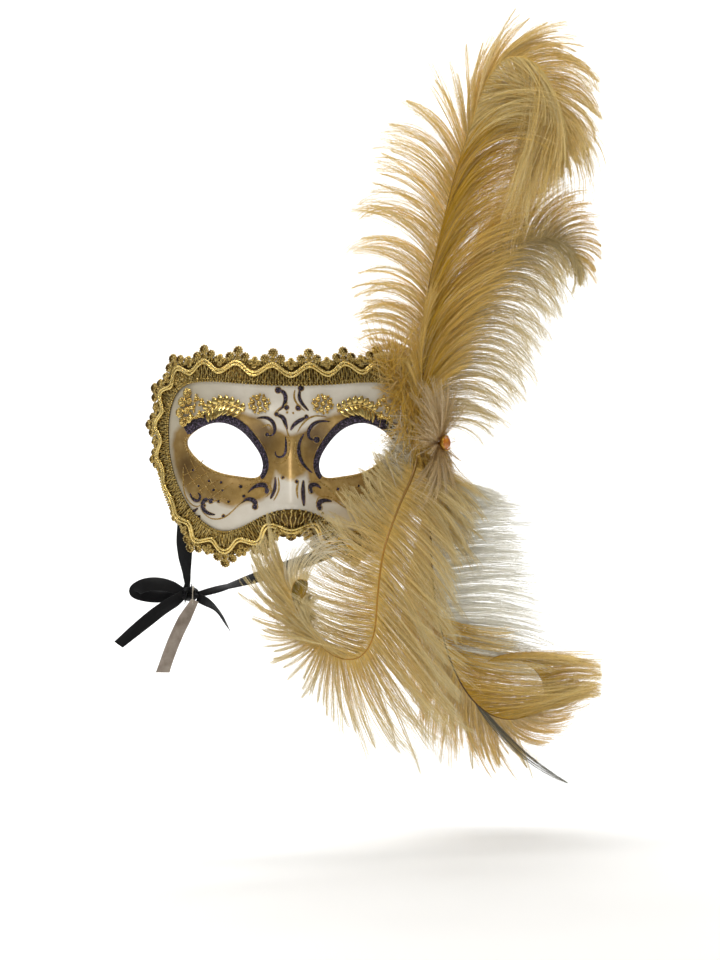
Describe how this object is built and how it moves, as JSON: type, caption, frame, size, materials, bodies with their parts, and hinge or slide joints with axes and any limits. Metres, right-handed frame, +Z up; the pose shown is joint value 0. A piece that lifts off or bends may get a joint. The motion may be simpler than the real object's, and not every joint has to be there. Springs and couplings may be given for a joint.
{
  "type": "venetian masquerade mask",
  "caption": "Half face mask with gold braid edge, jewelled brow, curled ostrich plumes on one temple and satin ribbon ties.",
  "frame": {"origin": "front of the mask's base curve, midway between the eye holes", "axes": "+Z up, the mask faces -Y, the wearer is on the +Y side and the wearer's left is +X"},
  "size_m": [0.3185, 0.0708, 0.5105],
  "materials": {
    "papier_mache": "pearl lacquer with gold and glitter painting",
    "gold_braid": "metallic galloon",
    "gold_trim": "metallised gold",
    "felt": "matte felt",
    "binding_wire": "satin",
    "gold_metal": "polished",
    "amber_glass": "faceted",
    "hackle": "glossy feather",
    "gold_down": "fluffy",
    "quill": "satin keratin",
    "plume_barbs": "soft feather",
    "black_satin": "satin",
    "tag_thread": "thread",
    "tag_satin": "printed blank side"
  },
  "bodies": {
    "mask": {"mask_shell": "papier_mache", "braid_top": "gold_braid", "braid_left_temple": "gold_braid", "braid_bottom": "gold_braid", "braid_right_temple": "gold_braid", "brow_sprig_right": "gold_trim", "brow_rosette_right": "gold_trim", "brow_beads_right": "gold_trim", "brow_nuggets_right": "gold_trim", "brow_sprig_left": "gold_trim", "brow_rosette_left": "gold_trim", "brow_beads_left": "gold_trim", "plume_pad": "felt", "quill_binding": "binding_wire", "gem_setting": "gold_metal", "gem": "amber_glass", "hackle_spray": "hackle", "base_fluff": "gold_down", "ribbon_patch_right": "felt", "ribbon_patch_left": "felt", "ribbon_right": "black_satin", "ribbon_left": "black_satin", "bow_knot": "black_satin", "bow_loop": "black_satin", "bow_tail_long": "black_satin", "bow_tail_short": "black_satin", "tag_thread": "tag_thread"},
    "tall_plume": {"tall_plume_quill": "quill", "tall_plume_vane": "plume_barbs"},
    "rear_plume": {"rear_plume_quill": "quill", "rear_plume_vane": "plume_barbs"},
    "front_plume": {"front_plume_quill": "quill", "front_plume_vane": "plume_barbs"},
    "side_plume": {"side_plume_quill": "quill", "side_plume_vane": "plume_barbs"},
    "tag": {"hang_tag": "tag_satin"}
  },
  "joints": [
    {"name": "tall_plume_sway", "type": "hinge", "parent": "mask", "child": "tall_plume", "pos_m": [0.09078, 0.02596, 0.012], "axis": [0, 1, 0], "range_deg": [-8, 8], "stiffness_Nm_per_rad": 0.12, "springref_deg": -2.52},
    {"name": "rear_plume_sway", "type": "hinge", "parent": "mask", "child": "rear_plume", "pos_m": [0.09621, 0.03114, 0.008], "axis": [0, 1, 0], "range_deg": [-8, 8], "stiffness_Nm_per_rad": 0.06, "springref_deg": -3.27},
    {"name": "front_plume_sway", "type": "hinge", "parent": "mask", "child": "front_plume", "pos_m": [0.08645, 0.02181, -0.006], "axis": [-1, 0, 0], "range_deg": [0, 12], "stiffness_Nm_per_rad": 0.04, "springref_deg": 3.44},
    {"name": "side_plume_sway", "type": "hinge", "parent": "mask", "child": "side_plume", "pos_m": [0.09476, 0.02976, -0.009], "axis": [0, 1, 0], "range_deg": [-6, 6], "stiffness_Nm_per_rad": 0.06, "springref_deg": -3.78},
    {"name": "tag_swing", "type": "hinge", "parent": "mask", "child": "tag", "pos_m": [-0.0655, 0.0275, -0.107], "axis": [0, 1, 0], "range_deg": [-60, 45]}
  ]
}
